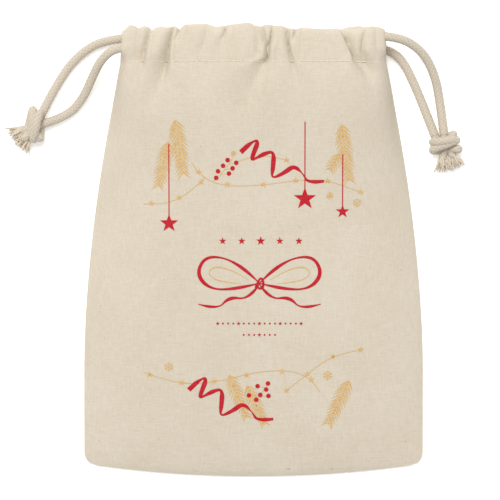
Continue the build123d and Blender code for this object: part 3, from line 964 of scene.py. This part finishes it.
for k in range(5):
    star(reds, -13.6 + 8.4 * k, 4.2, 2.1 if k == 2 else 1.7)
for way in (-1, 1):
    stroke(reds, besideBow(way, [(0, -14.4), (9, -5.2), (23, -1.6), (28, -10.0), (22, -17.2), (10, -17.0),
                                 (0, -14.4)]), [0.5, 1.5, 0.7, 1.3, 1.7, 0.8, 1.4, 0.5])
    stroke(reds, besideBow(way, [(0, -14.8), (4.6, -21.6), (13.4, -20.4), (18.4, -26.2), (27.0, -23.6)]),
           [0.5, 1.3, 0.7, 1.5, 0.6, 1.2, 0.4])
    stroke(golds, besideBow(way, [(4.6, -13.0), (12, -8.6), (20, -6.8), (23, -10.4), (17.6, -14.0),
                                  (8, -14.6)]),
           [0.2, 0.4, 0.6, 0.35, 0.5, 0.2])
stroke(reds, [(1.0, -16.6), (2.4, -12.2), (4.2, -12.4), (4.4, -16.4), (2.2, -17.0),
              (1.0, -15.2)], [1.1, 0.9, 1.1, 0.9])
for count, pitch, y in ((17, 2.3, -32.2), (7, 2.3, -37.2)):
    for k in range(count):
        x = bowX + pitch * (k - (count - 1) / 2)
        if k % 4 == (count // 2) % 4:
            star(reds, x, y, 0.95)
        else:
            dot(reds, x, y, 0.42)


def layInk(name, shapes, material, above):
    verts, faces, layers = [], [], []
    for k, shape in enumerate(shapes):
        faces.append(list(range(len(verts), len(verts) + len(shape))))
        verts += [p + Vector((0, 0, inkFilm["drawnAt"])) for p in shape]
        layers += [k % inkFilm["layers"] * inkFilm["layer"]] * len(shape)
    film = meshPiece(name, verts, faces)
    film.data.attributes.new("layer", "FLOAT", "POINT").data.foreach_set("value", layers)
    cuts = []
    for axis, normal in enumerate(((1, 0, 0), (0, 1, 0))):
        count = int(inkFilm["reach"][axis] / inkFilm["grid"])
        cuts += [([n * k * inkFilm["grid"] * mm for n in normal], normal) for k in range(-count, count + 1)]
    bisects = [lambda place=place, normal=normal: bpy.ops.mesh.bisect(
        plane_co=place, plane_no=normal, threshold=1e-6) for place, normal in cuts]
    editWhole(film, bpy.ops.mesh.normals_make_consistent, *bisects, bpy.ops.mesh.quads_convert_to_tris)
    for face in film.data.polygons:
        if face.normal.z < 0:
            face.flip()
    applyModifier(film, "SHRINKWRAP", target=wholes["front"], wrap_method="PROJECT",
                  wrap_mode="ABOVE_SURFACE", use_project_z=True, use_negative_direction=True,
                  use_positive_direction=False, offset=above)
    for vertex, layer in zip(film.data.vertices, film.data.attributes["layer"].data):
        vertex.co.z += layer.value  # shapes that cross each other never share one plane
    for side, piece in halves(film, name).items():
        makeActive(piece)
        bpy.ops.object.shade_smooth()
        finish(piece, material, "cotton_canvas", None)
        gather(piece)
    bpy.data.objects.remove(film)


layInk("RedPrint", reds, redInk, inkFilm["red"])
layInk("GoldPrint", golds, goldInk, inkFilm["gold"])
print("print laid on")

# stitches that close the casings
stitch = {"pitch": 2.6, "long": 2.2, "thick": 0.46, "inset": 1.2}


def stitchRow(name, face, node):
    surface = BVHTree.FromObject(wholes[face], bpy.context.evaluated_depsgraph_get())
    way = 1 if face == "front" else -1
    lift = (pouch["thickness"] / 2 + 0.02) * mm * way

    def onCloth(x):
        above = Vector((x * mm, (pouch["stitchY"] + 0.25) * mm, way * 60 * mm))
        return surface.ray_cast(above, Vector((0, 0, -way)))[0] + Vector((0, 0, lift))

    made = {"left": [], "right": []}
    reach = pouch["shoulderHalf"] - stitch["inset"]
    count = int(2 * reach / stitch["pitch"])
    for k in range(count):
        x = -reach + stitch["pitch"] * (k + 0.2)
        a, b = onCloth(x), onCloth(x + stitch["long"])
        deselect()
        bpy.ops.mesh.primitive_uv_sphere_add(segments=6, ring_count=5, radius=stitch["thick"] * mm / 2)
        one = bpy.context.object
        along = (b - a).normalized()
        turn = along.to_track_quat("X", "Z").to_matrix()
        for vertex in one.data.vertices:
            co = vertex.co.copy()
            co.x = co.x + (0.5 if co.x > 0 else -0.5) * (b - a).length * (1 if abs(co.x) > 1e-6 else 0)
            vertex.co = turn @ co + (a + b) / 2
        made["left" if x + stitch["long"] / 2 < 0 else "right"].append(one)
    for side, pieces in made.items():
        row = joinPieces(pieces, side + name)
        finish(row, sewingThread, "sewing_thread", None, node)
        gather(row)


stitchRow("FrontStitches", "front", "front_casing_stitches")
stitchRow("BackStitches", "back", "back_casing_stitches")
print("casings stitched")

# raw seam allowances, sewn and pressed flat inside the bag
allowance = {"wide": 5.0, "inset": 6.0, "above": 0.56, "thick": 0.5, "wave": 0.1, "waveLong": 9.0, "bow": 2.3,
             "cuts": (8, 120)}


def allowanceStrip(name, node, body, place):
    deselect()
    across, along = allowance["cuts"]
    bpy.ops.mesh.primitive_grid_add(x_subdivisions=across, y_subdivisions=along, size=2)
    strip = bpy.context.object
    strip.name = name
    for vertex in strip.data.vertices:
        x, y = place((vertex.co.x + 1) / 2, (vertex.co.y + 1) / 2)
        foot = bottomY + pouch["bottomSag"]
        flat = min(max((y - foot) / (pouch["stitchY"] - foot), 0), 1)
        under = panelPlace(x / sideHalf(y), flat, "back")[2]
        wave = allowance["wave"] * math.sin((x + y) * 2 * math.pi / allowance["waveLong"])
        vertex.co = Vector((x, y, under + allowance["above"] + wave)) * mm
    editWhole(strip, bpy.ops.mesh.normals_make_consistent)
    applyModifier(strip, "SOLIDIFY", thickness=allowance["thick"] * mm, offset=0)
    smooth(strip, 60)
    finish(strip, cottonCanvas, "cotton_canvas", body, node)
    return strip


def seamThread(name, node, body):
    # the stitches that hold an allowance: a merged copy of the plain row, in thread
    row = duplicate(bpy.data.objects[node], name)
    row.parent = None
    for key in [k for k in row.keys() if k.startswith("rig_")]:
        del row[key]
    editWhole(row, lambda: bpy.ops.mesh.remove_doubles(threshold=0.01 * mm),
              bpy.ops.mesh.normals_make_consistent)
    applyModifier(row, "BEVEL", width=0.12 * mm, segments=2, limit_method="ANGLE")
    finish(row, sewingThread, "sewing_thread", body, node)
    return row


for side, way in ways.items():
    low, high = [corner[1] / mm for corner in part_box(f"{side}_seam_allowance")]

    def sideStrip(t, s):
        y = mix(low, high, s)
        raw = 0.25 * math.sin(0.9 * y) * t
        return way * (sideHalf(y) - allowance["inset"] - (allowance["wide"] + raw) * t), y

    gather(allowanceStrip(f"{side}Allowance", f"{side}_seam_allowance", None, sideStrip))
    gather(seamThread(f"{side}SeamThread", f"{side}_seam_thread", None))

(lowX, _, _), (highX, highY, _) = [[c / mm for c in corner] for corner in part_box("bottom_seam_allowance")]


def bottomStrip(t, s):
    x = mix(lowX, highX, s)
    foot = highY - allowance["wide"] - allowance["bow"] * (1 - (x / highX) ** 2)
    return x, mix(foot, highY + 0.2 * math.sin(0.9 * x), t)


allowanceStrip("bottomAllowance", "bottom_seam_allowance", "pouch", bottomStrip)
seamThread("bottomSeamThread", "bottom_seam_thread", "pouch")

# bartacks: close satin stitches across the foot of each slit
bartack = {"stitches": 9, "thick": 0.42, "proud": 0.5, "sides": 6}


def satinBar(side, way):
    low, high = [Vector(corner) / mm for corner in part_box(f"{side}_slit_bartack")]
    pieces = []
    for k in range(bartack["stitches"]):
        y = mix(low.y + 0.3, high.y - 0.3, k / (bartack["stitches"] - 1))
        deselect()
        bpy.ops.mesh.primitive_uv_sphere_add(segments=8, ring_count=12, radius=1.0)
        one = bpy.context.object
        tall = (high.z - low.z) / 2 * (1 - 0.05 * (k % 2))
        for vertex in one.data.vertices:
            x, sideways, z = vertex.co
            out = mouthHalf + bartack["proud"] * (1 - z * z)
            vertex.co = Vector((way * out + x * bartack["thick"] / 2, y + sideways * bartack["thick"] / 2,
                                (low.z + high.z) / 2 + z * tall)) * mm
        pieces.append(one)
    bar = joinPieces(pieces, f"{side}SatinBar")
    finish(bar, sewingThread, "sewing_thread", None, f"{side}_slit_bartack")
    gather(bar)


for side, way in ways.items():
    satinBar(side, way)
print("seams finished")

for whole in wholes.values():
    bpy.data.objects.remove(whole)

# the surface it lies on and the light over it
stage = {"key": 25, "keySize": 0.9, "keyPlace": (-0.24, 0.72, 1.57), "sky": 0.56, "floorGlow": 0.29}

bpy.ops.mesh.primitive_plane_add(size=6, location=(0, 0, -0.0002))
floor = bpy.context.object
floor.name = "paleFloor"
board, boardShader = mottledMaterial("white matt board", "#fefefe", "#fbfbfa", 40 * mm, 0.0, 0.9)
# lit from behind as well, so shadows stay faint
boardShader.inputs["Emission Color"].default_value = (1, 1, 1, 1)
boardShader.inputs["Emission Strength"].default_value = stage["floorGlow"]
floor.data.materials.append(board)

bpy.ops.object.light_add(type="AREA", location=stage["keyPlace"])
key = bpy.context.object
key.data.energy = stage["key"]
key.data.size = stage["keySize"]
key.rotation_euler = (Vector((0, 0, 0)) - key.location).to_track_quat("-Z", "Y").to_euler()
world = bpy.data.worlds.new("softStudio")
world.use_nodes = True
world.node_tree.nodes["Background"].inputs[0].default_value = (1, 1, 1, 1)
world.node_tree.nodes["Background"].inputs[1].default_value = stage["sky"]
bpy.context.scene.world = world
bpy.context.scene.view_settings.view_transform = "Standard"
